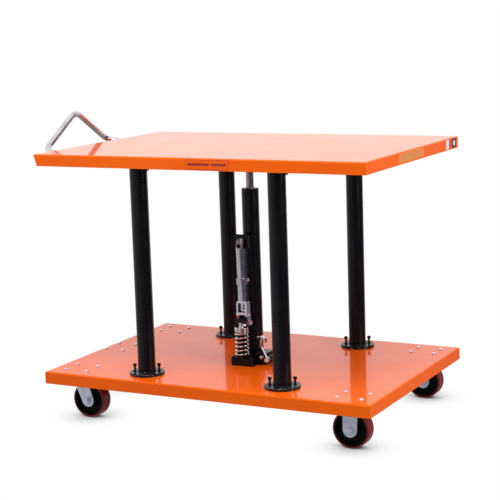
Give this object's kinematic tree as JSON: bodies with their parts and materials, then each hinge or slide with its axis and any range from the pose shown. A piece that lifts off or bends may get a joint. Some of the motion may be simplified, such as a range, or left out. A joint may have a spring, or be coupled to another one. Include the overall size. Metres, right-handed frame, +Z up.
{
  "type": "four-post hydraulic lift table",
  "caption": "Mobile four-post lift table: flanged deck on casters, telescopic posts, foot-pumped hydraulic ram and a chromed push handle.",
  "frame": {"origin": "middle of the whole object's outline, on the floor under the wheels", "axes": "+X along the table towards the end with fixed casters, the handle at -X; -Y towards the pump pedal side; +Z up"},
  "size_m": [1.328, 0.822, 1.0367],
  "materials": {
    "orange_paint": "gloss orange powder coat",
    "black_paint": "gloss black enamel",
    "chrome": "bright chrome plate",
    "zinc": "zinc plated steel",
    "steel": "ground steel",
    "bronze": "sintered bronze",
    "red_tread": "dark red polyurethane",
    "black_core": "moulded black core",
    "rubber": "black rubber"
  },
  "bodies": {
    "base": {"base_deck": "orange_paint", "deck_stiffeners": "orange_paint", "post_tube_left_front": "black_paint", "post_tube_left_rear": "black_paint", "post_tube_right_front": "black_paint", "post_tube_right_rear": "black_paint", "post_flanges": "black_paint", "post_tall_screws": "black_paint", "post_low_bolts": "black_paint", "post_bushes": "bronze", "grease_nipples": "black_paint", "plate_bolts": "zinc", "fixed_forks": "zinc", "fixed_axles": "zinc", "swivel_plates": "zinc", "floor_lock_housing": "zinc", "pump_block": "black_paint", "valve_block": "black_paint", "ram_tube": "black_paint", "ram_gland": "black_paint", "pump_barrel": "black_paint", "return_spring": "chrome", "pump_bolts": "black_paint", "fulcrum_bracket": "black_paint"},
    "platform": {"table_top": "orange_paint", "table_stiffeners": "orange_paint", "inner_posts": "chrome", "table_mount_plates": "black_paint", "post_wear_rings": "bronze", "piston_rod": "chrome", "rod_piston": "steel", "push_handle": "chrome"},
    "pedal_lever": {"lever_clevis": "chrome", "lever_pins": "zinc", "lever_tube": "chrome", "lever_collar": "chrome", "collar_bolt": "zinc", "pedal_plate": "black_paint", "pedal_pad": "rubber"},
    "roller": {"lever_roller": "chrome"},
    "plunger": {"pump_plunger": "steel", "spring_retainer": "chrome", "plunger_cap": "black_paint"},
    "release": {"release_shaft": "zinc", "release_lever": "chrome"},
    "swivel_front": {"swivel_fork_front": "zinc", "swivel_axle_front": "zinc"},
    "swivel_rear": {"swivel_fork_rear": "zinc", "swivel_axle_rear": "zinc"},
    "lock_foot": {"floor_lock_foot": "steel", "floor_lock_pad": "rubber"},
    "lock_pedal": {"floor_lock_pedal": "black_paint"},
    "wheel_left_front": {"wheel_core_left_front": "black_core", "wheel_tread_left_front": "red_tread"},
    "wheel_left_rear": {"wheel_core_left_rear": "black_core", "wheel_tread_left_rear": "red_tread"},
    "wheel_right_front": {"wheel_core_right_front": "black_core", "wheel_tread_right_front": "red_tread"},
    "wheel_right_rear": {"wheel_core_right_rear": "black_core", "wheel_tread_right_rear": "red_tread"}
  },
  "joints": [
    {"name": "table_lift", "type": "slide", "parent": "base", "child": "platform", "axis": [0, 0, 1], "range_m": [0, 0.455]},
    {"name": "pump_pedal", "type": "hinge", "parent": "base", "child": "pedal_lever", "pos_m": [0.0445, -0.05, 0.312], "axis": [1, 0, 0], "range_deg": [0, 40]},
    {"name": "pump_plunger_slide", "type": "slide", "parent": "base", "child": "plunger", "axis": [0, 0, -1], "range_m": [0, 0.0155], "stiffness_N_per_m": 2500, "springref_m": -0.024, "deforming": ["return_spring"]},
    {"name": "roller_spin", "type": "hinge", "parent": "pedal_lever", "child": "roller", "pos_m": [0.0445, -0.062, 0.343], "axis": [1, 0, 0], "continuous": true},
    {"name": "release_pedal", "type": "hinge", "parent": "base", "child": "release", "pos_m": [0.138, -0.07, 0.19], "axis": [0, 1, 0], "range_deg": [0, 15], "stiffness_Nm_per_rad": 1.5, "springref_deg": -14.32},
    {"name": "swivel_front", "type": "hinge", "parent": "base", "child": "swivel_front", "pos_m": [-0.462, -0.321, 0.144], "axis": [0, 0, 1], "continuous": true},
    {"name": "swivel_rear", "type": "hinge", "parent": "base", "child": "swivel_rear", "pos_m": [-0.462, 0.321, 0.144], "axis": [0, 0, 1], "continuous": true},
    {"name": "lock_pedal", "type": "hinge", "parent": "base", "child": "lock_pedal", "pos_m": [-0.504, 0, 0.122], "axis": [0, -1, 0], "range_deg": [0, 25]},
    {"name": "lock_foot_slide", "type": "slide", "parent": "base", "child": "lock_foot", "axis": [0, 0, -1], "range_m": [0, 0.0575]},
    {"name": "wheel_spin_left_front", "type": "hinge", "parent": "swivel_front", "child": "wheel_left_front", "pos_m": [-0.426, -0.321, 0.0625], "axis": [0, 1, 0], "continuous": true},
    {"name": "wheel_spin_left_rear", "type": "hinge", "parent": "swivel_rear", "child": "wheel_left_rear", "pos_m": [-0.426, 0.321, 0.0625], "axis": [0, 1, 0], "continuous": true},
    {"name": "wheel_spin_right_front", "type": "hinge", "parent": "base", "child": "wheel_right_front", "pos_m": [0.566, -0.321, 0.0625], "axis": [0, 1, 0], "continuous": true},
    {"name": "wheel_spin_right_rear", "type": "hinge", "parent": "base", "child": "wheel_right_rear", "pos_m": [0.566, 0.321, 0.0625], "axis": [0, 1, 0], "continuous": true}
  ],
  "couplings": [
    {"joint": "pump_plunger_slide", "follows": "pump_pedal", "m_per_rad": 0.0215},
    {"joint": "lock_foot_slide", "follows": "lock_pedal", "m_per_rad": 0.1306}
  ]
}
